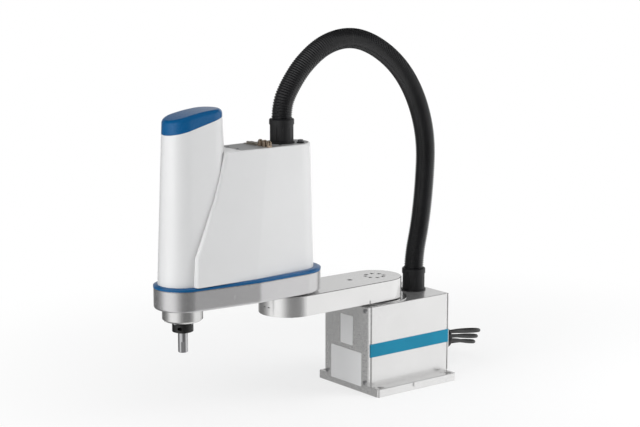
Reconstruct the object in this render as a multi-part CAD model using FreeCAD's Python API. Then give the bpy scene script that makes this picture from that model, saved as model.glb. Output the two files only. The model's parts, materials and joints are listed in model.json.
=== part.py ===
import FreeCAD, Part
import math
import os

# Four-axis SCARA robot, 400 mm reach, in millimetres.
# X points to the front, Z up. The origin is the centre of the base bolt pattern, on the mounting face.
# The arms are drawn stretched out along X, with the shaft at the top of its stroke.

# Base block and mounting flange
base_length = 178.0
base_width = 120.0
base_height = 154.0
base_wall = 6.0
base_deck = 10.0
base_corner = 4.0
flange_width = 164.0
flange_thick = 14.0
flange_corner = 3.0
bolt_edge_x = 12.0
bolt_edge_y = 8.0
bolt_hole_d = 9.0
bolt_sink_r = 6.5
bolt_sink = 2.0
jack_hole_r = 2.0
jack_offset = 8.0
window_margin = 16.0
front_plate = 4.0
rear_plate = 3.0
plate_inset = 0.5
band_height = 23.0
band_middle = 77.5
band_thick = 3.0
band_proud = 1.5
cover_screw_y = 51.0
cover_screw_low = 21.0
cover_screw_high = 147.0
cover_screw_r = 2.0
cover_head_r = 3.5
cover_head_h = 2.2

# Joint axes
j1_from_front = 58.5
arm1_length = 188.0
arm2_length = 212.0

# Joint 1 drive
j1_ring_proud = 1.5
j1_ring_r = 57.0
j1_ring_bore = 41.0
j1_ring_seat = 4.0
j1_bearing_r = 48.0
j1_bearing_h = 12.0
j1_race_r = 38.0
j1_neck_r = 36.0
j1_boss_r = 54.0
j1_reducer_r = 40.0
j1_reducer_h = 26.0
j1_lip = 4.0
j1_motor_size = 60.0
j1_motor_h = 74.0
j1_range = 125.0

# First arm
arm1_gap = 1.5
arm1_height = 34.5
arm1_r1 = 47.0
arm1_r2 = 50.3
arm1_wall = 5.0
arm1_roof = 6.5
arm1_cover = 2.5
arm1_edge = 1.5
arm1_rib = 5.0
hub_screw_circle = 16.5
hub_screw_count = 8
hub_screw_r = 2.0
hub_head_r = 3.5
hub_head_h = 4.0
plug_x = 55.8
plug_r = 5.0
plug_depth = 5.0

# Joint 2 drive
j2_neck_r = 28.0
j2_race_r = 31.0
j2_bearing_r = 40.0
j2_bearing_h = 12.0
j2_boss_r = 46.0
j2_reducer_r = 42.0
j2_reducer_h = 21.0
j2_motor_size = 48.0
j2_motor_h = 70.0
j2_range = 120.0

# Second arm casting and trim
arm2_gap = 3.5
arm2_height = 34.3
arm2_rear_r = 54.0
arm2_nose_r = 46.0
arm2_shoulder_from_j3 = 115.0
arm2_shoulder_r = 40.0
arm2_half_width = 57.5
arm2_wall = 5.0
arm2_floor = 6.0
arm2_edge = 4.0
trim_height = 5.0
trim_edge = 3.2
trim_proud = 0.4
trim_slope = 5.0
trim_width = 14.0

# White housing: a column at the nose and a body behind it
cover_wall = 3.0
column_foot_r = 38.5
column_foot_front = 1.0
column_foot_back = 48.0
column_draft = 0.0311
column_lean_front = 0.0116
column_lean_back = 0.0125
cap_joint_rise = 321.6
cap_joint_slope = 0.26
cap_arch = [(45.0, 336.5), (-15.0, 353.0), (-95.0, 356.5)]
cap_round = 8.0
cap_limit_rise = 371.0
body_top_rise = 289.0
body_rear_foot = (0.0, 42.0)
body_rear_top = (0.8, 37.5)
body_shoulder_r = 28.0
body_shoulder_foot = (-110.0, 51.0)
body_shoulder_top = (-145.0, 37.5)
body_front_r = 6.0
body_front_bends = [(126.0, 0.0), (216.0, -39.5)]
body_front_foot = (4.0, 49.0)
body_front_top = (-65.0, 35.0)
body_round = 3.0
top_plate_thick = 2.0
top_plate_inset = 3.0

# Fittings for the conduit
fitting_r = 19.5
fitting_height = 40.0
fitting_collar_r = 20.7
fitting_collar_h = 9.0
fitting_lip_r = 21.5
fitting_lip_h = 2.5
fitting_bore_r = 13.0
fitting_seat = 6.0
base_fitting_from_rear = 29.0
top_fitting_from_j2 = 12.5
conduit_r = 17.2
conduit_pitch = 4.0
conduit_groove = 1.6
conduit_straight = 27.0

# User ports and brake release button on the top plate
port_from_j3 = -151.0
air_port_first_y = 7.0
air_port_pitch = 12.0
air_port_count = 3
air_port_r = 4.2
air_port_h = 9.0
air_tube_r = 2.05
connector_y = -15.5
connector_width = 12.5
connector_length = 30.8
button_from_j2 = -11.0
button_y = 20.0
bezel_r = 6.5
bezel_h = 2.0
button_r = 4.6
button_h = 3.5
button_travel = 2.0
button_stem = 8.0

# Drives in the second arm
bracket_rise = 86.0
bracket_thick = 5.0
bracket_half = 31.0
bracket_rear_from_j3 = -160.0
standoff_r = 5.0
standoff_y = 26.0
z_motor_from_j3 = -82.0
j4_motor_from_j3 = -138.0
motor_size = 40.0
z_motor_h = 85.0
j4_motor_h = 75.0
motor_shaft_r = 4.0
belt_width = 8.0
belt_thick = 1.5
nut_pulley_r = 20.0
z_pulley_r = 10.0
j4_pulley_r = 12.0
z_belt_rise = 69.0
j4_belt_rise = 53.0
pulley_rim = 1.5
pulley_flange = 2.0

# Shaft, nuts and quill
shaft_r = 8.0
shaft_bore_r = 5.5
shaft_low_drop = 33.0
shaft_length = 334.0
shaft_flat = 0.5
shaft_flat_turn = 36.0
shaft_end = 32.0
shaft_relief = 0.4
spline_depth = 0.8
z_stroke = 150.0
nut_r = 15.0
nut_bearing_r = 22.0
nut_bearing_h = 12.0
quill_r = 33.0
quill_drop = 21.0
quill_hub_r = 26.0
quill_lip = 3.0
quill_edge = 3.0
collar_r = 17.2
collar_h = 14.0
collar_gap = 4.5
top_ring_r = 13.0
top_ring_h = 8.0

# Rear gland and cables
gland_y = 36.0
gland_z = 67.5
gland_r = 19.5
gland_length = 14.0
gland_thread_r = 16.0
cable_r = 3.25
cable_pitch = 7.5
coil_outer_r = 46.0
coil_inner_r = 26.5
coil_height = 26.0
connector_r = 9.5
connector_body = 38.0
connector_neck_r = 5.5
connector_neck = 14.0
connector_past_coil = 23.4

# Clearances
fit = 0.05
air = 0.3
hub_air = 0.5
stop_margin = 1.5

bolt_spacing_x = base_length - 2 * bolt_edge_x
bolt_spacing_y = flange_width - 2 * bolt_edge_y
j1_x = base_length / 2 - j1_from_front
j2_x = j1_x + arm1_length
j3_x = j2_x + arm2_length
base_fitting_x = base_fitting_from_rear - base_length / 2
# Heights that are set by their rise over the base
cap_joint_z = base_height + cap_joint_rise
cap_limit = base_height + cap_limit_rise
body_top_z = base_height + body_top_rise
body_front_edge = [(base_height + rise, x) for rise, x in body_front_bends]
bracket_z = base_height + bracket_rise
z_belt_z = base_height + z_belt_rise
j4_belt_z = base_height + j4_belt_rise
shaft_low_z = base_height - shaft_low_drop
ring_top = base_height + j1_ring_proud
arm1_z = ring_top + arm1_gap
arm1_top = arm1_z + arm1_height
arm2_z = arm1_top + arm2_gap
arm2_top = arm2_z + arm2_height
trim_top = arm2_top + trim_height
front_x = base_length / 2
rear_x = -base_length / 2


def vec(x, y, z):
    return FreeCAD.Vector(x, y, z)


def block(x0, x1, y0, y1, z0, z1):
    return Part.makeBox(x1 - x0, y1 - y0, z1 - z0, vec(x0, y0, z0))


def disc(x, y, z0, z1, r):
    return Part.makeCylinder(r, z1 - z0, vec(x, y, z0))


def ring(x, y, z0, z1, outer, inner):
    return disc(x, y, z0, z1, outer).cut(disc(x, y, z0, z1, inner))


def sector(x, y, z0, z1, outer, inner, middle_deg, half_deg):
    """Piece of a ring centred on middle_deg."""
    wedge = Part.makeCylinder(outer, z1 - z0, vec(x, y, z0), vec(0, 0, 1), 2 * half_deg)
    wedge.rotate(vec(x, y, 0), vec(0, 0, 1), middle_deg - half_deg)
    return wedge.cut(disc(x, y, z0, z1, inner))


def rounded_block(x0, x1, y0, y1, z0, z1, r):
    """Block with its upright edges rounded."""
    solid = block(x0, x1, y0, y1, z0, z1)
    return solid.makeFillet(r, upright_edges(solid))


def upright_edges(solid):
    edges = []
    for edge in solid.Edges:
        a = edge.Vertexes[0].Point
        b = edge.Vertexes[-1].Point
        if abs(a.x - b.x) < 1e-6 and abs(a.y - b.y) < 1e-6:
            edges.append(edge)
    return edges


def edges_at(solid, z):
    """Edges that lie wholly at one height."""
    box_test = []
    for edge in solid.Edges:
        box = edge.BoundBox
        if abs(box.ZMin - z) < 1e-3 and abs(box.ZMax - z) < 1e-3:
            box_test.append(edge)
    return box_test


def hull_wire(circles, z, inset=0.0):
    """Outline pulled tight round circles given as (x, y, r), in anticlockwise order."""
    count = len(circles)
    leave = []
    arrive = [None] * count
    for i in range(count):
        x1, y1, r1 = circles[i]
        x2, y2, r2 = circles[(i + 1) % count]
        dx, dy = x2 - x1, y2 - y1
        reach = math.hypot(dx, dy)
        dx, dy = dx / reach, dy / reach
        lean = (r1 - r2) / reach
        side = math.sqrt(1.0 - lean * lean)
        nx, ny = dx * lean + dy * side, dy * lean - dx * side
        leave.append((x1 + (r1 - inset) * nx, y1 + (r1 - inset) * ny))
        arrive[(i + 1) % count] = (x2 + (r2 - inset) * nx, y2 + (r2 - inset) * ny)
    edges = []
    for i in range(count):
        x, y, r = circles[i]
        r = r - inset
        a = math.atan2(arrive[i][1] - y, arrive[i][0] - x)
        b = math.atan2(leave[i][1] - y, leave[i][0] - x)
        if b < a:
            b += 2 * math.pi
        middle = (a + b) / 2
        start = vec(arrive[i][0], arrive[i][1], z)
        top = vec(x + r * math.cos(middle), y + r * math.sin(middle), z)
        end = vec(leave[i][0], leave[i][1], z)
        edges.append(Part.Arc(start, top, end).toShape())
        nxt = arrive[(i + 1) % count]
        edges.append(Part.LineSegment(end, vec(nxt[0], nxt[1], z)).toShape())
    return Part.Wire(edges)


def hull_solid(circles, z0, z1, inset=0.0):
    return Part.Face(hull_wire(circles, z0, inset)).extrude(vec(0, 0, z1 - z0))


def screw(x, y, z_head, head_r, head_h, shank_r, shank, key_r, up=1):
    """Socket screw whose head starts at z_head and whose shank runs the other way."""
    head = disc(x, y, 0, head_h, head_r)
    head = head.fuse(disc(x, y, -shank, 0, shank_r))
    head = head.cut(key_hole(x, y, head_h * 0.5, head_h, key_r))
    if up < 0:
        head = head.mirror(vec(0, 0, 0), vec(0, 0, 1))
    head.translate(vec(0, 0, z_head))
    return head.removeSplitter()


def key_hole(x, y, z0, z1, r):
    """Hexagon for a key, r across its corners."""
    points = []
    for i in range(6):
        turn = math.radians(60 * i)
        points.append(vec(x + r * math.cos(turn), y + r * math.sin(turn), z0))
    points.append(points[0])
    return Part.Face(Part.makePolygon(points)).extrude(vec(0, 0, z1 - z0))


def lying(solid, x, y, z, turn=0.0):
    """Lay a piece built along Z at the origin along X, then turn it about Z and place it."""
    solid = solid.copy()
    solid.rotate(vec(0, 0, 0), vec(0, 1, 0), 90)
    solid.rotate(vec(0, 0, 0), vec(0, 0, 1), turn)
    solid.translate(vec(x, y, z))
    return solid


def circle_places(x, y, r, count, first_deg=0.0):
    for i in range(count):
        turn = math.radians(first_deg + 360.0 * i / count)
        yield x + r * math.cos(turn), y + r * math.sin(turn)


# Base

def front_screw_places():
    for y in (-cover_screw_y, cover_screw_y):
        for z in (cover_screw_low, cover_screw_high):
            yield y, z


def bolt_places():
    for x in (-bolt_spacing_x / 2, bolt_spacing_x / 2):
        for y in (-bolt_spacing_y / 2, bolt_spacing_y / 2):
            yield x, y


def j1_levels():
    """Heights of the joint 1 bearing seat, from the underside of the retainer ring down."""
    ring_z = base_height - j1_ring_seat
    bearing_z = ring_z - j1_bearing_h
    reducer_z = bearing_z - j1_reducer_h - j1_lip
    return ring_z, bearing_z, reducer_z


def side_band(sign):
    y_in = sign * (base_width / 2 + band_proud - band_thick)
    y_out = sign * (base_width / 2 + band_proud)
    low = band_middle - band_height / 2
    band = block(rear_x, front_x, min(y_in, y_out), max(y_in, y_out), low, low + band_height)
    rims = []
    for edge in band.Edges:
        box = edge.BoundBox
        if abs(box.YMin - y_out) < 1e-6 and abs(box.YMax - y_out) < 1e-6:
            rims.append(edge)
    return band.makeFillet(0.8, rims)


def band_seat(sign):
    y_in = sign * (base_width / 2 + band_proud - band_thick)
    y_out = sign * (base_width / 2 + band_thick)
    low = band_middle - band_height / 2
    return block(rear_x - 1, front_x + 1, min(y_in, y_out), max(y_in, y_out), low, low + band_height)


def base_casting():
    half = base_width / 2
    body = rounded_block(rear_x, front_x, -half, half, 0, base_height, base_corner)
    body = body.makeFillet(1.2, edges_at(body, base_height))
    foot = rounded_block(rear_x, front_x, -flange_width / 2, flange_width / 2, 0, flange_thick, flange_corner)
    foot = foot.makeFillet(1.0, edges_at(foot, flange_thick))
    solid = body.fuse(foot)
    inside = half - base_wall
    roof = base_height - base_deck
    solid = solid.cut(block(rear_x + base_wall, front_x - base_wall, -inside, inside, flange_thick, roof))
    opening = half - window_margin
    low = cover_screw_low + cover_head_r + 1.5
    window = rounded_x_block(rear_x - 1, front_x + 1, opening, low, roof - 4, 6)
    solid = solid.cut(window)
    hatch = rounded_block(rear_x + 24, front_x - 24, -opening, opening, -1, flange_thick + 1, 10)
    solid = solid.cut(hatch)
    ring_z, bearing_z, reducer_z = j1_levels()
    solid = solid.fuse(disc(j1_x, 0, reducer_z, roof, j1_boss_r))
    solid = solid.cut(disc(j1_x, 0, reducer_z, bearing_z, j1_reducer_r + fit))
    solid = solid.cut(disc(j1_x, 0, bearing_z, ring_z, j1_bearing_r + fit))
    solid = solid.cut(disc(j1_x, 0, ring_z, base_height + 1, j1_ring_r + fit))
    for sign in (-1, 1):
        solid = solid.cut(band_seat(sign))
    for x, y in bolt_places():
        solid = solid.cut(disc(x, y, -1, flange_thick + 1, bolt_hole_d / 2))
        solid = solid.cut(disc(x, y, flange_thick - bolt_sink, flange_thick + 1, bolt_sink_r))
        jack_y = y - math.copysign(jack_offset, y)
        solid = solid.cut(disc(x + jack_offset, jack_y, -1, flange_thick + 1, jack_hole_r))
    for sign in (-1, 1):
        solid = solid.cut(disc(j1_x - 21, sign * flange_width / 2, flange_thick / 2, flange_thick + 1, 2.0))
    for y, z in front_screw_places():
        solid = solid.cut(lying(disc(0, 0, -1, 14, cover_screw_r + fit), front_x - 12, y, z))
        solid = solid.cut(lying(disc(0, 0, -1, 14, cover_screw_r + fit), rear_x - 1, y, z))
    solid = solid.cut(lying(disc(0, 0, -1, base_wall + 3, gland_thread_r + air), rear_x, gland_y, gland_z))
    solid = solid.cut(disc(base_fitting_x, 0, roof - 1, base_height + 1, fitting_bore_r))
    for x, y in circle_places(base_fitting_x, 0, fitting_lip_r - 4.5, 4, 45):
        solid = solid.cut(disc(x, y, roof - 1, base_height + 1, 1.5 + fit))
    return solid


def rounded_x_block(x0, x1, half, z0, z1, r):
    """Block with the edges along X rounded."""
    solid = block(x0, x1, -half, half, z0, z1)
    along = []
    for edge in solid.Edges:
        a = edge.Vertexes[0].Point
        b = edge.Vertexes[-1].Point
        if abs(a.y - b.y) < 1e-6 and abs(a.z - b.z) < 1e-6:
            along.append(edge)
    return solid.makeFillet(r, along)


def end_plate(x0, x1, outer_x):
    """Plate over one end of the block, with its outer rim rounded."""
    half = base_width / 2 - plate_inset
    low = flange_thick + plate_inset
    plate = block(x0, x1, -half, half, low, base_height - plate_inset)
    rim = []
    for edge in plate.Edges:
        box = edge.BoundBox
        if abs(box.XMin - outer_x) < 1e-6 and abs(box.XMax - outer_x) < 1e-6:
            rim.append(edge)
    plate = plate.makeFillet(1.2, rim)
    for y, z in front_screw_places():
        plate = plate.cut(lying(disc(0, 0, -1, x1 - x0 + 2, cover_screw_r + 0.2), x0, y, z))
    return plate


def base_front_cover():
    return end_plate(front_x, front_x + front_plate, front_x + front_plate)


def base_rear_panel():
    plate = end_plate(rear_x - rear_plate, rear_x, rear_x - rear_plate)
    hole = lying(disc(0, 0, -1, rear_plate + 2, gland_thread_r + fit), rear_x - rear_plate, gland_y, gland_z)
    return plate.cut(hole)


def base_cover_screws():
    solids = []
    shank = 8.0
    for y, z in front_screw_places():
        one = screw(0, 0, 0, cover_head_r, cover_head_h, cover_screw_r, shank, 1.6)
        solids.append(lying(one, front_x + front_plate, y, z))
        other = screw(0, 0, 0, cover_head_r, cover_head_h, cover_screw_r, shank, 1.6, up=-1)
        solids.append(lying(other, rear_x - rear_plate, y, z))
    return Part.makeCompound(solids)


def conduit_fitting(x, z):
    """Hollow fitting with a foot lip and a rounded collar on top."""
    body = disc(x, 0, z, z + fitting_height, fitting_r)
    collar = disc(x, 0, z + fitting_height - fitting_collar_h, z + fitting_height, fitting_collar_r)
    collar = collar.makeFillet(2.0, edges_at(collar, z + fitting_height))
    lip = disc(x, 0, z, z + fitting_lip_h, fitting_lip_r)
    solid = body.fuse([collar, lip])
    for i in range(12):
        turn = math.radians(30 * i)
        cx = x + (fitting_r + 0.9) * math.cos(turn)
        cy = (fitting_r + 0.9) * math.sin(turn)
        solid = solid.cut(disc(cx, cy, z + fitting_lip_h + 4, z + fitting_height - fitting_collar_h - 4, 1.5))
    solid = solid.cut(disc(x, 0, z + fitting_height - fitting_seat, z + fitting_height + 1, conduit_r + air))
    return solid.cut(disc(x, 0, z - 1, z + fitting_height + 1, fitting_bore_r)).removeSplitter()


def j1_retainer_ring():
    ring_z = base_height - j1_ring_seat
    solid = ring(j1_x, 0, ring_z, ring_top, j1_ring_r, j1_ring_bore)
    solid = solid.makeFillet(0.8, edges_at(solid, ring_top))
    half = (180.0 - j1_range - stop_margin) / 2
    lug = sector(j1_x, 0, ring_z, ring_top - 1, j1_ring_bore + 1, j1_neck_r + 0.8, 180, half)
    return solid.fuse(lug).removeSplitter()


def j1_bearing_outer():
    ring_z, bearing_z, reducer_z = j1_levels()
    solid = ring(j1_x, 0, bearing_z, ring_z, j1_bearing_r, j1_race_r + air)
    return solid


def j1_output_hub():
    """Turned hub: inner race below, neck above, drilled for the arm screws."""
    ring_z, bearing_z, reducer_z = j1_levels()
    solid = disc(j1_x, 0, bearing_z, ring_z, j1_race_r)
    solid = solid.fuse(disc(j1_x, 0, ring_z, arm1_z, j1_neck_r))
    half = (180.0 - j1_range - stop_margin) / 2
    lug = sector(j1_x, 0, ring_z + 0.5, ring_top - 1, j1_ring_bore - 0.8, j1_neck_r - 1, 0, half)
    solid = solid.fuse(lug)
    for x, y in circle_places(j1_x, 0, hub_screw_circle, hub_screw_count, 22.5):
        solid = solid.cut(disc(x, y, bearing_z + 4, arm1_z + 1, hub_screw_r + fit))
    return solid.removeSplitter()


def j1_reducer():
    ring_z, bearing_z, reducer_z = j1_levels()
    top = bearing_z - hub_air
    solid = disc(j1_x, 0, reducer_z, top, j1_reducer_r)
    step = disc(j1_x, 0, top - 4, top, j1_reducer_r).cut(disc(j1_x, 0, top - 4, top, j1_reducer_r - 6))
    for x, y in circle_places(j1_x, 0, j1_reducer_r - 3, 12):
        step = step.cut(disc(x, y, top - 2, top, 1.5))
    core = disc(j1_x, 0, top - 4, top - 1, j1_reducer_r - 6)
    return solid.cut(disc(j1_x, 0, top - 4, top, j1_reducer_r)).fuse([step, core]).removeSplitter()


def square_motor(x, z0, z1, size, flange, cap):
    """Servo motor: square flange at z0, finned body and a smaller encoder cap at z1."""
    half = size / 2
    up = 1 if z1 > z0 else -1
    body = rounded_block(x - half + 1, x + half - 1, -half + 1, half - 1, 0, abs(z1 - z0) - cap, size * 0.14)
    plate = rounded_block(x - half, x + half, -half, half, 0, flange, size * 0.1)
    lid_half = half * 0.86
    top = abs(z1 - z0)
    lid = rounded_block(x - lid_half, x + lid_half, -lid_half, lid_half, top - cap, top, size * 0.12)
    lid = lid.makeFillet(1.5, edges_at(lid, top))
    solid = body.fuse([plate, lid])
    if up < 0:
        solid = solid.mirror(vec(0, 0, 0), vec(0, 0, 1))
    solid.translate(vec(0, 0, z0))
    return solid.removeSplitter()


def j1_motor():
    ring_z, bearing_z, reducer_z = j1_levels()
    return square_motor(j1_x, reducer_z, reducer_z - j1_motor_h, j1_motor_size, 7.0, 20.0)


def cable_gland():
    """Gland nut behind the panel, with three holes for the cables."""
    inner = disc(0, 0, -8, rear_plate, gland_thread_r)
    nut = disc(0, 0, rear_plate, rear_plate + gland_length, gland_r)
    nut = nut.makeFillet(3.0, edges_at(nut, rear_plate + gland_length))
    for x, y in circle_places(0, 0, gland_r + 1.2, 12):
        nut = nut.cut(disc(x, y, rear_plate + 2, rear_plate + gland_length - 5, 2.0))
    solid = nut.fuse(inner)
    solid = lying(solid, rear_x, gland_y, gland_z, 180)
    for z in cable_heights():
        bore = lying(disc(0, 0, -20, rear_plate + gland_length + 1, cable_r + fit), rear_x, gland_y, z, 180)
        solid = solid.cut(bore)
    return solid


def cable_heights():
    return [gland_z + cable_pitch, gland_z, gland_z - cable_pitch]


# First arm

def arm1_plan():
    return [(j2_x, 0.0, arm1_r2), (j1_x, 0.0, arm1_r1)]


def arm_1_casting():
    solid = hull_solid(arm1_plan(), arm1_z, arm1_top)
    solid = solid.makeFillet(arm1_edge, edges_at(solid, arm1_top))
    pocket = hull_solid(arm1_plan(), arm1_z + arm1_cover, arm1_top - arm1_roof, arm1_wall)
    pocket = pocket.cut(disc(j1_x, 0, arm1_z, arm1_top, arm1_r1))
    pocket = pocket.cut(disc(j2_x, 0, arm1_z, arm1_top, j2_neck_r + 6))
    middle = (j1_x + j2_x) / 2
    pocket = pocket.cut(block(j1_x, j2_x, -arm1_rib / 2, arm1_rib / 2, arm1_z, arm1_top))
    for x in (middle - 22, middle + 22):
        pocket = pocket.cut(block(x - arm1_rib / 2, x + arm1_rib / 2, -arm1_r2, arm1_r2, arm1_z, arm1_top))
    solid = solid.cut(pocket)
    solid = solid.cut(arm1_cover_seat(0.0))
    for x, y in circle_places(j1_x, 0, hub_screw_circle, hub_screw_count, 22.5):
        solid = solid.cut(disc(x, y, arm1_z - 1, arm1_top + 1, hub_screw_r + 0.2))
        solid = solid.cut(disc(x, y, arm1_top - hub_head_h - 0.5, arm1_top + 1, hub_head_r + 0.4))
    for x, y in circle_places(j2_x, 0, hub_screw_circle, hub_screw_count, 22.5):
        solid = solid.cut(disc(x, y, arm1_z - 1, arm1_top + 1, hub_screw_r + 0.2))
        solid = solid.cut(disc(x, y, arm1_z, arm1_z + arm1_cover + hub_head_h + 0.5, hub_head_r + 0.4))
    solid = solid.cut(disc(j1_x + plug_x, 0, arm1_top - plug_depth, arm1_top + 1, plug_r + fit))
    for x, y in arm1_cover_screw_places():
        solid = solid.cut(disc(x, y, arm1_z, arm1_z + arm1_cover + 8, 1.25 + fit))
    return solid.removeSplitter()


def arm1_cover_seat(gap):
    """Shape of the cover under the arm, clear of the hub end."""
    seat = hull_solid(arm1_plan(), arm1_z - 1 if gap == 0 else arm1_z, arm1_z + arm1_cover, 2.5 + gap)
    return seat.cut(disc(j1_x, 0, arm1_z - 2, arm1_z + arm1_cover + 1, j1_ring_bore + 1 + gap))


def arm1_cover_screw_places():
    reach = arm1_r2 - arm1_wall + 0.8
    for turn in (60, 0, -60):
        angle = math.radians(turn)
        yield j2_x + reach * math.cos(angle), reach * math.sin(angle)
    for side in (-1, 1):
        yield (j1_x + j2_x) / 2, side * ((arm1_r1 + arm1_r2) / 2 - arm1_wall + 0.8)


def arm_1_bottom_cover():
    plate = arm1_cover_seat(fit)
    for x, y in arm1_cover_screw_places():
        plate = plate.cut(disc(x, y, arm1_z - 1, arm1_z + arm1_cover + 1, 1.25 + 0.2))
    return plate


def arm_1_cover_screws():
    solids = []
    for x, y in arm1_cover_screw_places():
        one = screw(x, y, arm1_z, 1.9, 1.0, 1.25, 9.0, 0.9, up=-1)
        solids.append(one)
    return Part.makeCompound(solids)


def arm_1_j1_screws():
    solids = []
    z = arm1_top - hub_head_h - 0.5
    for x, y in circle_places(j1_x, 0, hub_screw_circle, hub_screw_count, 22.5):
        solids.append(screw(x, y, z, hub_head_r, hub_head_h, hub_screw_r, z - arm1_z + 10, 1.7))
    return Part.makeCompound(solids)


def arm_1_j2_screws():
    solids = []
    z = arm1_z + arm1_cover + hub_head_h + 0.5
    for x, y in circle_places(j2_x, 0, hub_screw_circle, hub_screw_count, 22.5):
        solids.append(screw(x, y, z, hub_head_r, hub_head_h, hub_screw_r, arm1_top - z + 12, 1.7, up=-1))
    return Part.makeCompound(solids)


def arm_1_plug_screw():
    x = j1_x + plug_x
    plug = disc(x, 0, arm1_top - plug_depth, arm1_top - 0.2, plug_r)
    return plug.cut(key_hole(x, 0, arm1_top - 3.2, arm1_top, 3.0))


# Joint 2

def j2_levels():
    """Heights of the joint 2 bearing and of the reducer above it."""
    bearing_z = arm2_z + arm2_floor
    reducer_z = bearing_z + j2_bearing_h
    return bearing_z, reducer_z


def j2_output_hub():
    bearing_z, reducer_z = j2_levels()
    solid = disc(j2_x, 0, arm1_top, bearing_z + hub_air, j2_neck_r)
    solid = solid.fuse(disc(j2_x, 0, bearing_z + hub_air, reducer_z - hub_air, j2_race_r))
    half = (180.0 - j2_range - stop_margin) / 2
    lug = sector(j2_x, 0, arm2_z + 1, bearing_z - hub_air, j2_neck_r + 4, j2_neck_r - 1, 180, half)
    solid = solid.fuse(lug)
    for x, y in circle_places(j2_x, 0, hub_screw_circle, hub_screw_count, 22.5):
        solid = solid.cut(disc(x, y, arm1_top - 1, reducer_z - 4, hub_screw_r + fit))
    return solid.removeSplitter()


def j2_bearing_outer():
    bearing_z, reducer_z = j2_levels()
    return ring(j2_x, 0, bearing_z, reducer_z, j2_bearing_r, j2_race_r + air)


def j2_reducer():
    bearing_z, reducer_z = j2_levels()
    solid = disc(j2_x, 0, reducer_z, reducer_z + j2_reducer_h, j2_reducer_r - 5)
    solid = solid.fuse(disc(j2_x, 0, reducer_z, reducer_z + 6, j2_reducer_r))
    for x, y in circle_places(j2_x, 0, j2_reducer_r - 2.6, 8, 22.5):
        solid = solid.cut(disc(x, y, reducer_z + 3, reducer_z + 7, 1.8))
    return solid


def j2_motor():
    bearing_z, reducer_z = j2_levels()
    z = reducer_z + j2_reducer_h
    return square_motor(j2_x, z, z + j2_motor_h, j2_motor_size, 6.0, 22.0)


# Second arm

def arm2_plan():
    side = arm2_half_width - arm2_shoulder_r
    x = j3_x - arm2_shoulder_from_j3
    return [
        (j3_x, 0.0, arm2_nose_r),
        (x, side, arm2_shoulder_r),
        (j2_x, 0.0, arm2_rear_r),
        (x, -side, arm2_shoulder_r),
    ]


def standoff_places():
    for x in (j3_x + bracket_rear_from_j3 + 8, j3_x - 48):
        for y in (-standoff_y, standoff_y):
            yield x, y


def arm_2_casting():
    solid = hull_solid(arm2_plan(), arm2_z, arm2_top)
    solid = solid.makeFillet(arm2_edge, edges_at(solid, arm2_z))
    pocket = hull_solid(arm2_plan(), arm2_z + arm2_floor, arm2_top + 1, arm2_wall)
    bearing_z, reducer_z = j2_levels()
    pocket = pocket.cut(disc(j2_x, 0, arm2_z, reducer_z, j2_boss_r))
    pocket = pocket.cut(disc(j3_x, 0, arm2_z, arm2_z + arm2_floor + 6, quill_r - 1))
    for x, y in standoff_places():
        pocket = pocket.cut(disc(x, y, arm2_z, arm2_z + arm2_floor + 3, standoff_r + 2))
    solid = solid.cut(pocket)
    solid = solid.cut(disc(j2_x, 0, bearing_z, reducer_z + 1, j2_bearing_r + fit))
    lip_r = j2_neck_r + 5
    solid = solid.cut(disc(j2_x, 0, arm2_z - 1, bearing_z + 1, lip_r))
    half = (180.0 - j2_range - stop_margin) / 2
    lug = sector(j2_x, 0, arm2_z + 0.5, bearing_z - hub_air, lip_r + 1, j2_neck_r + 1, 0, half)
    solid = solid.fuse(lug)
    solid = solid.cut(disc(j3_x, 0, arm2_z - 1, arm2_top, quill_hub_r + fit))
    for x, y in standoff_places():
        solid = solid.cut(disc(x, y, arm2_z + 2, arm2_z + arm2_floor + 4, 2.0 + fit))
    return solid.removeSplitter()


def arm_2_trim():
    edge_z = arm2_top + trim_edge
    solid = hull_solid(arm2_plan(), arm2_top, edge_z, -trim_proud)
    outer = hull_wire(arm2_plan(), edge_z, -trim_proud)
    solid = solid.fuse(loft([outer, hull_wire(arm2_plan(), trim_top, trim_slope)]))
    return solid.cut(hull_solid(arm2_plan(), arm2_top - 1, trim_top + 1, trim_width))


def column_plan(z, extra=0.0):
    """Two circles of the column at height z. The column narrows and leans as it rises."""
    up = z - trim_top
    r = column_foot_r - column_draft * up + extra
    front = j3_x + column_foot_front - column_lean_front * up
    back = j3_x - column_foot_back + column_lean_back * up
    return [(front, 0.0, r), (back, 0.0, r)]


def loft(wires):
    return Part.makeLoft(wires, True, True)


def column_solid(z0, z1, inset=0.0):
    return loft([hull_wire(column_plan(z0), z0, inset), hull_wire(column_plan(z1), z1, inset)])


def tilted_block(z_at_nose, slope, thickness):
    """Slab whose underside rises towards the back; z_at_nose is its height over the nose of the column."""
    angle = math.degrees(math.atan(slope))
    slab = block(-400, 200, -100, 100, 0, thickness)
    slab.rotate(vec(0, 0, 0), vec(0, 1, 0), angle)
    slab.translate(vec(j3_x + 24, 0, z_at_nose))
    return slab


def between(low, high, share):
    return tuple(a + (b - a) * share for a, b in zip(low, high))


def body_plan(z):
    """Five circles of the body behind the column at height z."""
    share = (z - trim_top) / (body_top_z - trim_top)
    rear_x_off, rear_r = between(body_rear_foot, body_rear_top, share)
    side_x_off, side_y = between(body_shoulder_foot, body_shoulder_top, share)
    front_y = between(body_front_foot, body_front_top, share)[1]
    front_c = j3_x + body_front_x(z) - body_front_r
    shoulder = (j3_x + side_x_off, side_y - body_shoulder_r, body_shoulder_r)
    return [
        (front_c, front_y - body_front_r, body_front_r),
        shoulder,
        (j2_x + rear_x_off, 0.0, rear_r),
        (shoulder[0], -shoulder[1], shoulder[2]),
        (front_c, body_front_r - front_y, body_front_r),
    ]


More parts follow.
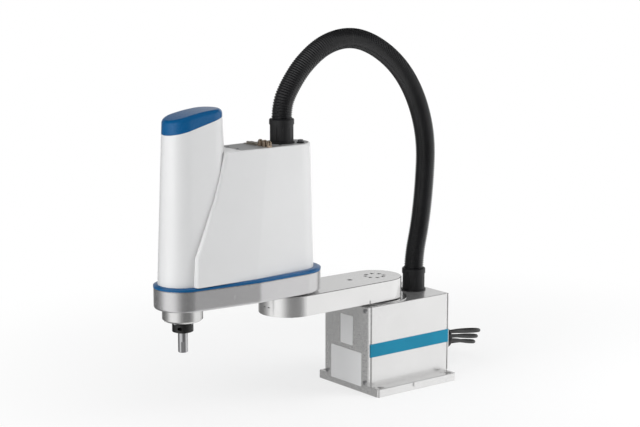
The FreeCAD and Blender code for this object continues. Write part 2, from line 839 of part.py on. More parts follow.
def body_front_x(z):
    """Front of the body from the shaft axis: upright at the foot, then leaning back."""
    line = [(trim_top, body_front_foot[0])] + body_front_edge + [(body_top_z, body_front_top[0])]
    for (z0, x0), (z1, x1) in zip(line, line[1:]):
        if z <= z1:
            return x0 + (x1 - x0) * (z - z0) / (z1 - z0)
    return line[-1][1]


def body_solid(z0, z1, inset=0.0):
    heights = [z0] + [z for z, x in body_front_edge] + [z1]
    return loft([hull_wire(body_plan(z), z, inset) for z in heights])


def body_hollow():
    return body_solid(trim_top - 1, body_top_z - cover_wall - top_plate_thick, cover_wall)


def housing_column():
    """Moulded slanted column, open below, under the cap and into the body behind it."""
    column = column_solid(trim_top, cap_limit)
    column = column.cut(tilted_block(cap_joint_z, cap_joint_slope, 200))
    column_in = column_solid(trim_top - 1, cap_limit, cover_wall)
    return column.cut(column_in).cut(body_hollow())


def housing_cover():
    """Moulded body shell that closes round the back of the column with a thin joint."""
    body = body_solid(trim_top, body_top_z)
    body = body.makeFillet(body_round, edges_at(body, body_top_z))
    column = column_solid(trim_top - 1, cap_limit, -air)
    solid = body.cut(body_hollow()).cut(column)
    solid = solid.cut(top_plate_shape(0.0))
    deck = body_top_z - top_plate_thick
    for x, y in plate_screw_places():
        solid = solid.cut(disc(x, y, deck - cover_wall - 1, deck + 1, 1.5 + fit))
    return solid.cut(top_plate_holes(deck - cover_wall - 1, deck + 1, 0.5))


def top_fitting_x():
    return j2_x + top_fitting_from_j2


def top_plate_plan():
    circles = body_plan(body_top_z)
    front_c = j3_x - column_foot_back - column_foot_r - 12.0
    plan = []
    for x, y, r in circles:
        plan.append((min(x, front_c), y, r))
    return plan


def top_plate_shape(gap):
    inset = top_plate_inset + gap
    top = body_top_z + (1 if gap == 0 else 0)
    return hull_solid(top_plate_plan(), body_top_z - top_plate_thick, top, inset)


def plate_screw_places():
    front = j3_x - column_foot_back - column_foot_r - 14.0
    yield front, 14.0
    yield front, -14.0
    yield j2_x + body_rear_top[0] + 34, 26.0
    yield j2_x + body_rear_top[0] + 34, -26.0


def housing_top_plate():
    plate = top_plate_shape(fit)
    low = body_top_z - top_plate_thick - 1
    high = body_top_z + 1
    for x, y in plate_screw_places():
        plate = plate.cut(disc(x, y, low, high, 1.5 + 0.2))
    return plate.cut(top_plate_holes(low, high, 0.0))


def top_plate_holes(low, high, gap):
    """Ways through for the conduit, the button stem, the air fittings and the connector."""
    x = j3_x + port_from_j3
    slot = block(x - 4 - gap, x + 4 + gap, connector_y - 8.5 - gap, connector_y + 8.5 + gap, low, high)
    holes = [disc(top_fitting_x(), 0, low, high, fitting_bore_r + gap)]
    holes.append(disc(j2_x + button_from_j2, button_y, low, high, button_r - 1 + air + gap))
    for x, y in air_port_places():
        holes.append(disc(x, y, low, high, 2.2 + gap))
    return slot.fuse(holes)


def top_plate_screws():
    solids = []
    for x, y in plate_screw_places():
        solids.append(screw(x, y, body_top_z, 2.8, 1.6, 1.5, top_plate_thick + 2.5, 1.2))
    return Part.makeCompound(solids)


def air_port_places():
    for i in range(air_port_count):
        yield j3_x + port_from_j3, air_port_first_y + i * air_port_pitch


def air_fittings():
    """Push-in air fittings: hexagon, barrel and release collar."""
    solids = []
    z = body_top_z
    for x, y in air_port_places():
        hexagon = key_hole(x, y, z, z + 3.5, air_port_r + 0.9)
        barrel = disc(x, y, z + 3.5, z + air_port_h, air_port_r)
        barrel = barrel.makeFillet(0.8, edges_at(barrel, z + air_port_h))
        collar = disc(x, y, z + air_port_h, z + air_port_h + 1.5, air_port_r - 1.2)
        tail = disc(x, y, z - top_plate_thick - 3, z, 2.0)
        one = hexagon.fuse([barrel, collar, tail])
        one = one.cut(disc(x, y, z + 1, z + air_port_h + 2, air_tube_r))
        solids.append(one.removeSplitter())
    return Part.makeCompound(solids)


def user_connector():
    """Nine-way D-shaped connector with its two jack posts."""
    x = j3_x + port_from_j3
    z = body_top_z
    half_w = connector_width / 2
    half_l = connector_length / 2
    plate = block(x - half_w, x + half_w, connector_y - half_l, connector_y + half_l, z, z + 1.2)
    shell = d_shape(x, connector_y, z + 1.2, z + 4.0, 0.0)
    hollow = d_shape(x, connector_y, z + 1.8, z + 5.0, 0.8)
    core = d_shape(x, connector_y, z + 1.8, z + 3.4, 1.4)
    back = block(x - 3.6, x + 3.6, connector_y - 8.2, connector_y + 8.2, z - 8, z)
    solid = plate.fuse(shell).cut(hollow).fuse(core).fuse(back)
    for row, count in ((1.4, 5), (-1.4, 4)):
        for i in range(count):
            y = connector_y + (i - (count - 1) / 2) * 2.76
            solid = solid.cut(disc(x + row, y, z + 2.4, z + 4, 0.5))
    for side in (-1, 1):
        y = connector_y + side * (half_l - 3.0)
        post = key_hole(x, y, z + 1.2, z + 3.6, 2.6).cut(disc(x, y, z + 2, z + 4, 1.2))
        solid = solid.fuse(post)
    return solid.removeSplitter()


def d_shape(x, y, z0, z1, inset):
    """D outline of a nine-way shell, long side along Y."""
    wide = 8.4 - inset
    narrow = 7.4 - inset
    half = 4.1 - inset
    points = [
        vec(x + half, y - wide, z0),
        vec(x + half, y + wide, z0),
        vec(x - half, y + narrow, z0),
        vec(x - half, y - narrow, z0),
    ]
    points.append(points[0])
    return Part.Face(Part.makePolygon(points)).extrude(vec(0, 0, z1 - z0))


def brake_button_bezel():
    x = j2_x + button_from_j2
    solid = ring(x, button_y, body_top_z, body_top_z + bezel_h, bezel_r, button_r + air)
    return solid.makeFillet(0.6, edges_at(solid, body_top_z + bezel_h)[:1])


def brake_button():
    """Sprung button: cap above the plate and a thinner stem through it."""
    x = j2_x + button_from_j2
    z = body_top_z + button_travel + air
    cap = disc(x, button_y, z, z + button_h - air, button_r)
    cap = cap.makeFillet(0.8, edges_at(cap, z + button_h - air))
    stem = disc(x, button_y, body_top_z - top_plate_thick - button_stem + 2, z, button_r - 1)
    return cap.fuse(stem).removeSplitter()


def housing_cap():
    """Slanted cap on the column, hollow, with a lip inside the column."""
    solid = column_solid(trim_top, cap_limit)
    solid = solid.common(tilted_block(cap_joint_z, cap_joint_slope, 200))
    solid = solid.cut(above_cap(0.0))
    for face in solid.Faces:
        if face.Surface.TypeId == "Part::GeomCylinder" and abs(face.Surface.Axis.y) > 0.99:
            rim = face.Edges
    solid = solid.makeFillet(cap_round, rim)
    hollow = column_solid(trim_top - 1, cap_limit, cover_wall).cut(above_cap(cover_wall + 1))
    solid = solid.cut(hollow)
    return solid.fuse([cap_lip(cover_wall - 0.5, 0.0), cap_lip(cover_wall + fit, -5.0)]).removeSplitter()


def above_cap(drop):
    """Everything above the arched top of the cap, lowered by drop."""
    nose, crown, tail = [vec(j3_x + x, -100, base_height + rise - drop) for x, rise in cap_arch]
    high = cap_limit + 50
    tail_up = vec(tail.x, -100, high)
    nose_up = vec(nose.x, -100, high)
    edges = [Part.Arc(nose, crown, tail).toShape()]
    for a, b in ((tail, tail_up), (tail_up, nose_up), (nose_up, nose)):
        edges.append(Part.LineSegment(a, b).toShape())
    return Part.Face(Part.Wire(edges)).extrude(vec(0, 200, 0))


def cap_lip(inset, start):
    """Thin collar of the cap, from start below its joint to 4 above it."""
    lip = column_solid(trim_top, cap_limit, inset)
    lip = lip.cut(column_solid(trim_top - 1, cap_limit + 1, cover_wall + 2.0))
    lip = lip.cut(tilted_block(cap_joint_z + 4, cap_joint_slope, 200))
    return lip.common(tilted_block(cap_joint_z + start, cap_joint_slope, 200))


# Drives in the second arm

def motor_bracket():
    """Plate that carries both small motors and the upper nut bearing."""
    rear = j3_x + bracket_rear_from_j3
    plan = [(j3_x, 0.0, 30.0), (rear + 8, bracket_half - 8, 8.0), (rear + 8, 8 - bracket_half, 8.0)]
    solid = hull_solid(plan, bracket_z, bracket_z + bracket_thick)
    solid = solid.fuse(disc(j3_x, 0, bracket_z, bracket_z + nut_bearing_h, nut_bearing_r + 5))
    solid = solid.cut(disc(j3_x, 0, bracket_z - 1, bracket_z + nut_bearing_h + 1, nut_bearing_r + fit))
    for x in (j3_x + z_motor_from_j3, j3_x + j4_motor_from_j3):
        solid = solid.cut(disc(x, 0, bracket_z - 1, bracket_z + bracket_thick + 1, motor_shaft_r + 6))
    for x, y in standoff_places():
        solid = solid.cut(disc(x, y, bracket_z - 1, bracket_z + bracket_thick + 1, 2.2))
    return solid.removeSplitter()


def bracket_standoffs():
    solids = []
    low = arm2_z + arm2_floor + 3
    for x, y in standoff_places():
        post = disc(x, y, low, bracket_z, standoff_r)
        post = post.fuse(disc(x, y, low - 6, low, 2.0))
        post = post.fuse(disc(x, y, bracket_z, bracket_z + bracket_thick, 2.0))
        post = post.fuse(disc(x, y, bracket_z + bracket_thick, bracket_z + bracket_thick + 3, 3.5))
        solids.append(post.removeSplitter())
    return Part.makeCompound(solids)


def z_motor():
    z = bracket_z + bracket_thick
    return square_motor(j3_x + z_motor_from_j3, z, z + z_motor_h, motor_size, 5.0, 22.0)


def j4_motor():
    z = bracket_z + bracket_thick
    return square_motor(j3_x + j4_motor_from_j3, z, z + j4_motor_h, motor_size, 5.0, 20.0)


def belt(x_motor, r_motor, z):
    outer = hull_solid([(j3_x, 0, nut_pulley_r + air + belt_thick), (x_motor, 0, r_motor + air + belt_thick)],
                       z, z + belt_width)
    rounds = [(j3_x, 0, nut_pulley_r + air), (x_motor, 0, r_motor + air)]
    inner = hull_solid(rounds, z - 1, z + belt_width + 1)
    return outer.cut(inner)


def z_belt():
    return belt(j3_x + z_motor_from_j3, z_pulley_r, z_belt_z)


def j4_belt():
    return belt(j3_x + j4_motor_from_j3, j4_pulley_r, j4_belt_z)


def pulley(x, z, r):
    """Belt pulley: a barrel with a flange above and below the belt."""
    low = z - air
    high = z + belt_width + air
    solid = disc(x, 0, low, high, r)
    solid = solid.fuse(disc(x, 0, low - pulley_rim, low, r + pulley_flange + 1))
    return solid.fuse(disc(x, 0, high, high + pulley_rim, r + pulley_flange + 1))


def motor_pulley(x, z, r):
    """Pulley on its motor shaft, which ends just under the motor."""
    low = z - air - pulley_rim
    axle = disc(x, 0, low, bracket_z + bracket_thick - air, motor_shaft_r)
    return pulley(x, z, r).fuse(axle).removeSplitter()


def z_motor_pulley():
    return motor_pulley(j3_x + z_motor_from_j3, z_belt_z, z_pulley_r)


def j4_motor_pulley():
    return motor_pulley(j3_x + j4_motor_from_j3, j4_belt_z, j4_pulley_r)


def nut(z0, z1, belt_z):
    body = disc(j3_x, 0, z0, z1, nut_r)
    body = body.fuse(pulley(j3_x, belt_z, nut_pulley_r))
    return body.cut(disc(j3_x, 0, z0 - 1, z1 + 1, shaft_r + fit)).removeSplitter()


def ball_screw_nut():
    return nut(z_belt_z - air - pulley_rim, bracket_z + nut_bearing_h + 8, z_belt_z)


def quill_low():
    return arm2_z - quill_drop


def spline_nut():
    return nut(quill_low() + quill_lip + hub_air, j4_belt_z + belt_width + air + pulley_rim, j4_belt_z)


def nut_bearing():
    return ring(j3_x, 0, bracket_z, bracket_z + nut_bearing_h, nut_bearing_r, nut_r + air)


def spline_bearing():
    low = quill_low() + quill_lip
    return ring(j3_x, 0, low + 2, low + 2 + nut_bearing_h, nut_bearing_r, nut_r + air)


def quill_flange():
    """Turned flange under the nose, with a hub inside the casting and six screw recesses."""
    low = quill_low()
    solid = disc(j3_x, 0, low, arm2_z, quill_r)
    solid = solid.makeChamfer(quill_edge, edges_at(solid, low))
    solid = solid.fuse(disc(j3_x, 0, arm2_z, arm2_z + arm2_floor + 3, quill_hub_r))
    solid = solid.cut(disc(j3_x, 0, low + quill_lip, arm2_z + arm2_floor + 4, nut_bearing_r + fit))
    solid = solid.cut(disc(j3_x, 0, low - 1, low + quill_lip + 1, shaft_r + 3))
    for x, y in circle_places(j3_x, 0, quill_r - 5.5, 6, 30):
        solid = solid.cut(disc(x, y, low - 1, low + 5, 2.6))
    return solid


def shaft():
    """Hollow ball-screw spline shaft: four spline grooves above the collar, a flat at the lower end."""
    top = shaft_low_z + shaft_length
    solid = disc(j3_x, 0, shaft_low_z, top, shaft_r)
    solid = solid.makeChamfer(0.8, edges_at(solid, shaft_low_z))
    groove_low = shaft_low_z + shaft_end + 1.5
    for x, y in circle_places(j3_x, 0, shaft_r + 0.6, 4, 45):
        solid = solid.cut(disc(x, y, groove_low, top + 1, 0.6 + spline_depth))
    relief = ring(j3_x, 0, groove_low - 1.5, groove_low, shaft_r + 1, shaft_r - shaft_relief)
    solid = solid.cut(relief)
    side = (shaft_r - shaft_flat, shaft_r + 1)
    flat = block(j3_x - shaft_r, j3_x + shaft_r, *side, shaft_low_z - 1, shaft_low_z + 18)
    flat.rotate(vec(j3_x, 0, 0), vec(0, 0, 1), -shaft_flat_turn)
    solid = solid.cut(flat)
    return solid.cut(disc(j3_x, 0, shaft_low_z - 1, top + 1, shaft_bore_r))


def collar_top():
    return quill_low() - collar_gap


def clamp_ring(z0, z1, r):
    """Split clamp ring round the shaft, closed by one cross screw hole."""
    solid = ring(j3_x, 0, z0, z1, r, shaft_r + fit)
    solid = solid.makeFillet(1.0, outer_edges(solid, r))
    slit = block(j3_x + shaft_r - 1, j3_x + r + 1, -0.6, 0.6, z0 - 1, z1 + 1)
    middle = (z0 + z1) / 2
    bore = Part.makeCylinder(1.6, 2 * r, vec(j3_x + (shaft_r + r) / 2, -r, middle), vec(0, 1, 0))
    head = Part.makeCylinder(2.8, r, vec(j3_x + (shaft_r + r) / 2, 6, middle), vec(0, 1, 0))
    return solid.cut(slit).cut(bore).cut(head)


def outer_edges(solid, r):
    found = []
    for edge in solid.Edges:
        if edge.Curve.TypeId == "Part::GeomCircle" and abs(edge.Curve.Radius - r) < 1e-6:
            found.append(edge)
    return found


def stop_collar():
    return clamp_ring(collar_top() - collar_h, collar_top(), collar_r)


def shaft_top_ring():
    top = shaft_low_z + shaft_length - 3
    return clamp_ring(top - top_ring_h, top, top_ring_r)


# Conduit and cables

def cord_path(points):
    """Straight runs joined by tangent arcs, each as large as its two runs allow."""
    edges = []
    radii = []
    start = vec(*points[0])
    for i in range(1, len(points) - 1):
        before = vec(*points[i - 1])
        here = vec(*points[i])
        after = vec(*points[i + 1])
        u = (here - before).normalize()
        v = (after - here).normalize()
        short = min((here - before).Length, (after - here).Length)
        half_turn = math.acos(max(-1.0, min(1.0, u.dot(v)))) / 2
        reach = 0.45 * short
        radius = reach / math.tan(half_turn)
        radii.append(round(radius))
        a = here - u * reach
        b = here + v * reach
        inward = (v - u).normalize()
        centre = here + inward * (radius / math.cos(half_turn))
        middle = centre - inward * radius
        edges.append(Part.LineSegment(start, a).toShape())
        edges.append(Part.Arc(a, middle, b).toShape())
        start = b
    edges.append(Part.LineSegment(start, vec(*points[-1])).toShape())
    return Part.Wire(edges), radii


def cord_tube(name, points, r):
    path, radii = cord_path(points)
    first = vec(*points[1]) - vec(*points[0])
    section = Part.Wire(Part.makeCircle(r, vec(*points[0]), first))
    tube = path.makePipeShell([section], True, False)
    share = tube.Volume / (math.pi * r * r * path.Length)
    print(name, "length", round(path.Length), "radii", radii, "volume share", round(share, 4))
    return tube


conduit_bends = [
    (-74, 118), (-83, 191), (-86, 266), (-66.5, 335), (-30, 393), (22, 434.5), (80, 456.5),
    (138, 448.5), (184.5, 418), (215, 381),
]


def conduit_points():
    """Centre line of the conduit, from the base fitting up and over to the top fitting."""
    low = base_height + fitting_height - fitting_seat
    high = body_top_z + fitting_height - fitting_seat
    first = [(base_fitting_x, 0, low), (base_fitting_x, 0, low + conduit_straight)]
    last = [(top_fitting_x(), 0, high + conduit_straight), (top_fitting_x(), 0, high)]
    return first + [(x, 0, base_height + rise) for x, rise in conduit_bends] + last


def umbilical_conduit():
    """Corrugated conduit: crest and groove circles in turn along the centre line."""
    path, radii = cord_path(conduit_points())
    pitches = round(path.Length / conduit_pitch)
    middles = path.discretize(Number=2 * pitches + 1)
    circles = []
    for i, middle in enumerate(middles):
        ahead = middles[min(i + 1, 2 * pitches)] - middles[max(i - 1, 0)]
        r = conduit_r - conduit_groove * (i % 2)
        circle = Part.Circle(vec(0, 0, 0), vec(0, 0, 1), r).toShape()
        turn = FreeCAD.Rotation(vec(0, 1, 0), vec(0, 0, 0), ahead, "ZXY")
        circle.Placement = FreeCAD.Placement(middle, turn)
        circles.append(Part.Wire(circle))
    print("umbilical_conduit length", round(path.Length), "radii", radii)
    return Part.makeLoft(circles, True, True)


coil_centres = [(-265.0, -328.0), (-199.0, -246.0), (-153.0, -148.0)]


def cable_points(index):
    """Route of one cable from the gland to the side of its coil on the floor behind the base."""
    z = cable_heights()[index]
    x, y = coil_centres[index]
    start = [(rear_x - 9, gland_y, z), (rear_x - 31, gland_y, z)]
    end = (x - coil_outer_r - cable_r - air, y, cable_r)
    return start + cable_middles[index] + [end]


cable_middles = [
    [
        (-166, 22.5, 64.5),
        (-207, 17, 58.5),
        (-228, -10, 52),
        (-228, -52, 43),
        (-224, -95, 30),
        (-228, -138, 13),
        (-252, -182, cable_r),
        (-284, -230, cable_r),
        (-309, -280, cable_r),
    ],
    [
        (-165, 22.5, 55.5),
        (-201, 17, 48.5),
        (-220, -8, 42.5),
        (-220, -48, 34.5),
        (-216, -88, 23),
        (-216, -126, 9),
        (-228, -160, cable_r),
        (-244, -200, cable_r),
    ],
    [
        (-164, 22.5, 46.5),
        (-195, 17, 39),
        (-211, -6, 34),
        (-211, -42, 27),
        (-206, -76, 16),
        (-203, -106, 5),
    ],
]


def rear_cable(index):
    return cord_tube("rear_cable_%s" % "abc"[index], cable_points(index), cable_r)


def cable_coil(index):
    x, y = coil_centres[index]
    solid = ring(x, y, 0, coil_height, coil_outer_r, coil_inner_r)
    return solid.makeFillet(3.0, outer_edges(solid, coil_outer_r))


def rear_cable_connectors():
    """Round cable connectors, each lying in line with the outer turn of its coil."""
    solids = []
    for x, y in coil_centres:
        body = disc(0, 0, connector_neck, connector_neck + connector_body, connector_r)
        body = body.makeChamfer(1.0, edges_at(body, connector_neck + connector_body))
        neck = Part.makeCone(connector_neck_r - 1.5, connector_neck_r, connector_neck)
        one = body.fuse(neck)
        mouth = connector_neck + connector_body
        hollow = disc(0, 0, mouth - 12, mouth + 1, connector_r - 2)
        one = one.cut(hollow).removeSplitter()
        beside = y - coil_outer_r - cable_r - air
        solids.append(lying(one, x + connector_past_coil - connector_neck, beside, connector_r))
    return Part.makeCompound(solids)


def save(name, shape):
    shape.exportStep("parts/%s.step" % name)


def main():
    os.makedirs("parts", exist_ok=True)
    plain = [
        base_casting, base_front_cover, base_rear_panel, base_cover_screws, j1_retainer_ring,
        j1_bearing_outer, j1_output_hub, j1_reducer, j1_motor, cable_gland, arm_1_casting,
        arm_1_bottom_cover, arm_1_cover_screws, arm_1_j1_screws, arm_1_j2_screws, arm_1_plug_screw,
        j2_output_hub, j2_bearing_outer, j2_reducer, j2_motor, arm_2_casting, arm_2_trim,
        housing_column, housing_cover, housing_cap, housing_top_plate, top_plate_screws, air_fittings,
        user_connector, brake_button_bezel, brake_button, motor_bracket, bracket_standoffs,
        z_motor, j4_motor, z_belt, j4_belt, z_motor_pulley, j4_motor_pulley, ball_screw_nut,
        spline_nut, nut_bearing, spline_bearing, quill_flange, shaft, stop_collar, shaft_top_ring,
        umbilical_conduit, rear_cable_connectors,
    ]
    for build in plain:
        save(build.__name__, build())
    save("base_side_band_left", side_band(1))
    save("base_side_band_right", side_band(-1))
    save("base_conduit_fitting", conduit_fitting(base_fitting_x, base_height))
    save("top_conduit_fitting", conduit_fitting(top_fitting_x(), body_top_z))
    for index in range(3):
        letter = "abc"[index]
        save("rear_cable_" + letter, rear_cable(index))
        save("rear_cable_coil_" + letter, cable_coil(index))


main()
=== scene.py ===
import json
import math
import bmesh
import bpy
from mathutils import Matrix, Vector

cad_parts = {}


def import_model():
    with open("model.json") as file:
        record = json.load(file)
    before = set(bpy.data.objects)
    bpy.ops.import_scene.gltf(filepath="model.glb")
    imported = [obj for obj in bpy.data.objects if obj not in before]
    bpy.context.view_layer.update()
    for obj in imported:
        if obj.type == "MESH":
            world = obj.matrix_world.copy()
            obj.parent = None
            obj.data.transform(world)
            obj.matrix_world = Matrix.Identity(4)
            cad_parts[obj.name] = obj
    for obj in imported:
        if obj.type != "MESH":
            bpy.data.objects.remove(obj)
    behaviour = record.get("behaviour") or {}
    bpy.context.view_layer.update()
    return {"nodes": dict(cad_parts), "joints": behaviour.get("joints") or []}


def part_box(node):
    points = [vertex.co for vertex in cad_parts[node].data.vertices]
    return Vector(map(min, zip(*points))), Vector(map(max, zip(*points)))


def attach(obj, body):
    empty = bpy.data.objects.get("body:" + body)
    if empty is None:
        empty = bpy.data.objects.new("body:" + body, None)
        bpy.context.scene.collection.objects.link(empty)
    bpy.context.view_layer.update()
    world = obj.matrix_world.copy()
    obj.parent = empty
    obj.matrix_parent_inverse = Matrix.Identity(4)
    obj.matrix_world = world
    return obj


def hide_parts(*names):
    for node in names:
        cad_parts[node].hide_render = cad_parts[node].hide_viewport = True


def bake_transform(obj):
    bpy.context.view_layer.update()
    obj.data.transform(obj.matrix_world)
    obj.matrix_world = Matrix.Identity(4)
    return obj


# Finishes, conduit, cables, small screws and marks, floor, light and camera of a SCARA robot.
# Its solids, sizes and joints come with the frame.

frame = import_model()
NODES = frame["nodes"]
JOINTS = {joint["name"]: joint for joint in frame["joints"]}
scene = bpy.context.scene


def lowest(node, axis):
    """Where a CAD node begins along an axis, to a micrometre."""
    return round(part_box(node)[0]["xyz".index(axis)], 6)


def highest(node, axis):
    """Where a CAD node ends along an axis, to a micrometre."""
    return round(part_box(node)[1]["xyz".index(axis)], 6)


# Places and sizes in metres, in the robot's own frame: +X along the arms at rest, +Z up
J2_X = JOINTS["j2"]["pos_m"][0]
J3_X = JOINTS["j4"]["pos_m"][0]
REAR_X = lowest("base_casting", "x")
FRONT_X = highest("base_front_cover", "x")
QUILL_LOW = lowest("quill_flange", "z")

# Conduit: its route, the outside radius and the form of its ribs
CONDUIT = [
    (-0.060, 0, 0.188), (-0.060, 0, 0.215), (-0.074, 0, 0.272), (-0.083, 0, 0.345),
    (-0.086, 0, 0.420), (-0.0665, 0, 0.489), (-0.030, 0, 0.547), (0.022, 0, 0.5885),
    (0.080, 0, 0.6105), (0.138, 0, 0.6025), (0.1845, 0, 0.572), (0.215, 0, 0.535),
    (0.231, 0, 0.504), (0.231, 0, 0.477),
]
CONDUIT_R = 0.0172
CONDUIT_PITCH = 0.0040
CONDUIT_RIB = 0.0008
RIB_ROUNDNESS = 0.6
RINGS_PER_RIB = 8
CONDUIT_SIDES = 40
LINE_STEPS = 24
SHORTEST_RUN = 1e-9

# Rear cables: where each leaves the gland, its way to the floor, and the middle of its coil
CABLE_R = 0.00325
CABLE_WIDTH = 2 * CABLE_R
CABLE_START = 0.009
CABLE_STRAIGHT = 0.031
GLAND_Y = 0.036
CABLE_Z = [0.075, 0.0675, 0.060]
CABLE_MIDDLES = [
    [(-0.166, 0.0225, 0.0645), (-0.207, 0.017, 0.0585), (-0.228, -0.010, 0.052),
     (-0.228, -0.052, 0.043), (-0.224, -0.095, 0.030), (-0.228, -0.138, 0.013),
     (-0.252, -0.182, CABLE_R), (-0.284, -0.230, CABLE_R), (-0.309, -0.280, CABLE_R)],
    [(-0.165, 0.0225, 0.0555), (-0.201, 0.017, 0.0485), (-0.220, -0.008, 0.0425),
     (-0.220, -0.048, 0.0345), (-0.216, -0.088, 0.023), (-0.216, -0.126, 0.009),
     (-0.228, -0.160, CABLE_R), (-0.244, -0.200, CABLE_R)],
    [(-0.164, 0.0225, 0.0465), (-0.195, 0.017, 0.039), (-0.211, -0.006, 0.034),
     (-0.211, -0.042, 0.027), (-0.206, -0.076, 0.016), (-0.203, -0.106, 0.005)],
]
CABLE_STEPS = 6
CABLE_BEVEL_STEPS = 4
CONNECTOR_R = 0.0095
CONNECTOR_PAST_MIDDLE = 0.014

# Coils: angles in degrees round the coil's middle, counted on from turn to turn
FULL_TURN = 360.0
COIL_CENTRES = [(-0.265, -0.328), (-0.199, -0.246), (-0.153, -0.148)]
COIL_R = 0.046
COIL_GAP = 0.0003
BESIDE_COIL = COIL_R + CABLE_R + COIL_GAP
BEFORE_COIL = 0.004
COIL_LAYERS = 4
COIL_START = 180.0
COIL_END = 3870.0
CHANGE_ANGLE = 90.0
FIRST_CHANGE = 472.5
LAYER_ANGLE = 900.0
CLIMB_AFTER = 630.0
LEAVES_COIL = 3645.0
DESCENT = (3712.5, 3862.0)
TURN_STEP = 22.5

# Strap round a coil: its section as radius and height, close round the turns
TIE_SECTION = [
    (0.0262, 0.0030), (0.0275, 0.0006), (0.0300, 0.0002), (0.0425, 0.0002), (0.0450, 0.0006),
    (0.0463, 0.0030), (0.0464, 0.0130), (0.0463, 0.0230), (0.0450, 0.0256), (0.0425, 0.0264),
    (0.0300, 0.0264), (0.0275, 0.0256), (0.0262, 0.0230), (0.0261, 0.0130),
]
TIE_MIDDLE = Vector((0.03625, 0.0, 0.0132))
TIE_HALF_WIDTH = 0.0030
TIE_THICK = 0.0007
TIE_ANGLE = 60.0

# Plain plates on the front cover: middle (y, z), then width and height
FRONT_PLATES = {
    "front_plate_upper": ((0.0005, 0.105), (0.033, 0.052)),
    "front_plate_lower": ((-0.0005, 0.0412), (0.083, 0.0595)),
}

# Marks on the first arm
ARM1_END_R = 0.0502
J2_MARK_ANGLES = (1.5, 13.0)
J2_MARK_Z = 0.1715
J2_MARK_SIZE = (0.0042, 0.0013)
J1_MARK_PLACE = (0.0798, 0.0481, 0.1602)
J1_MARK_SIZE = (0.0009, 0.0055)
MARK_CORNER = 0.0003

# Socket screws under the nose flange
QUILL_SCREWS = 6
QUILL_SCREW_FIRST = 30.0
QUILL_SCREW_RING = 0.0275
SCREW_R = 0.0023
SCREW_SIDES = 24
SCREW_BELOW = 0.0018
SCREW_ABOVE = 0.0046
SCREW_RIM = 0.0004
SCREW_FACE = 0.84
SOCKET_MOUTH = 0.52
SOCKET_FLOOR = 0.50
SOCKET_DEPTH = 0.0018

# Camera at the photograph's viewing angle
CAMERA_PLACE = (1.8948, 2.22867, 0.8397)
CAMERA_TURN = (79.5, 0.0, 141.96)
CAMERA_LENS = 95.97
SENSOR_WIDTH = 36.0

# Floor: near and far are a distance from the origin and the share of plain white there
FLOOR_HALF = 9.0
FLOOR_DROP = 0.0002
FLOOR_COLOR = (0.92, 0.92, 0.92, 1)
FLOOR_NEAR = (0.2, 0.7)
FLOOR_FAR = (1.0, 1.0)
WHITE = (1, 1, 1, 1)

# Room
ROOM_COLOR = (0.97, 0.985, 1.0, 1)
ROOM_LEVEL = 0.33
# Brightness that shiny things see, by compass direction in degrees from +Y toward +X
ROOM = [
    (-180, 0.20), (-160, 0.45), (-140, 0.72), (-115, 0.85), (-95, 0.95), (-42, 0.98), (-35, 0.80),
    (-25, 0.45), (-12, 0.24), (0, 0.20), (22, 0.20), (36, 0.28), (46, 0.45), (56, 0.70), (68, 0.95),
    (80, 1.00), (104, 1.00), (115, 0.75), (125, 0.45), (138, 0.28), (152, 0.16), (178, 0.14),
]
# Where that brightness begins and stops falling, as the rise of the direction, and its share at each
ROOM_LOW = (0.25, 1.0)
ROOM_HIGH = (0.6, 0.10)


# Shader nodes

class Nodes:
    """Short way to add and join shader nodes in one tree."""

    def __init__(self, tree):
        self.tree = tree
        self.tree.nodes.clear()

    def add(self, kind, **values):
        node = self.tree.nodes.new(kind)
        for key, value in values.items():
            if key in node.inputs:
                node.inputs[key].default_value = value
            else:
                setattr(node, key, value)
        return node

    def join(self, source, target):
        self.tree.links.new(source, target)

    def noise(self, vector, scale, detail=3.0, stretch=None):
        if stretch:
            mapping = self.add("ShaderNodeMapping", Scale=stretch)
            self.join(vector, mapping.inputs["Vector"])
            vector = mapping.outputs["Vector"]
        node = self.add("ShaderNodeTexNoise", Scale=scale, Detail=detail)
        self.join(vector, node.inputs["Vector"])
        return node.outputs["Fac"]

    def span(self, value, first, last, smooth=False):
        """The value carried from one range to another: first and last are (value before, value after)."""
        node = self.add("ShaderNodeMapRange")
        if smooth:
            node.interpolation_type = "SMOOTHSTEP"
        node.inputs["From Min"].default_value, node.inputs["To Min"].default_value = first
        node.inputs["From Max"].default_value, node.inputs["To Max"].default_value = last
        self.join(value, node.inputs["Value"])
        return node.outputs["Result"]

    def mix_colors(self, factor, first, last):
        node = self.add("ShaderNodeMix", data_type="RGBA")
        self.join(factor, node.inputs[0])
        node.inputs[6].default_value = (*first, 1.0)
        node.inputs[7].default_value = (*last, 1.0)
        return node.outputs[2]

    def mix_shaders(self, factor, first, last):
        node = self.add("ShaderNodeMixShader")
        for source, socket in zip((factor, first, last), node.inputs):
            self.join(source, socket)
        return node.outputs["Shader"]


# Materials

# The part of the noise's range that is spread over a colour or a roughness
NOISE_LOW = 0.3
NOISE_HIGH = 0.7
BEVEL_SAMPLES = 4


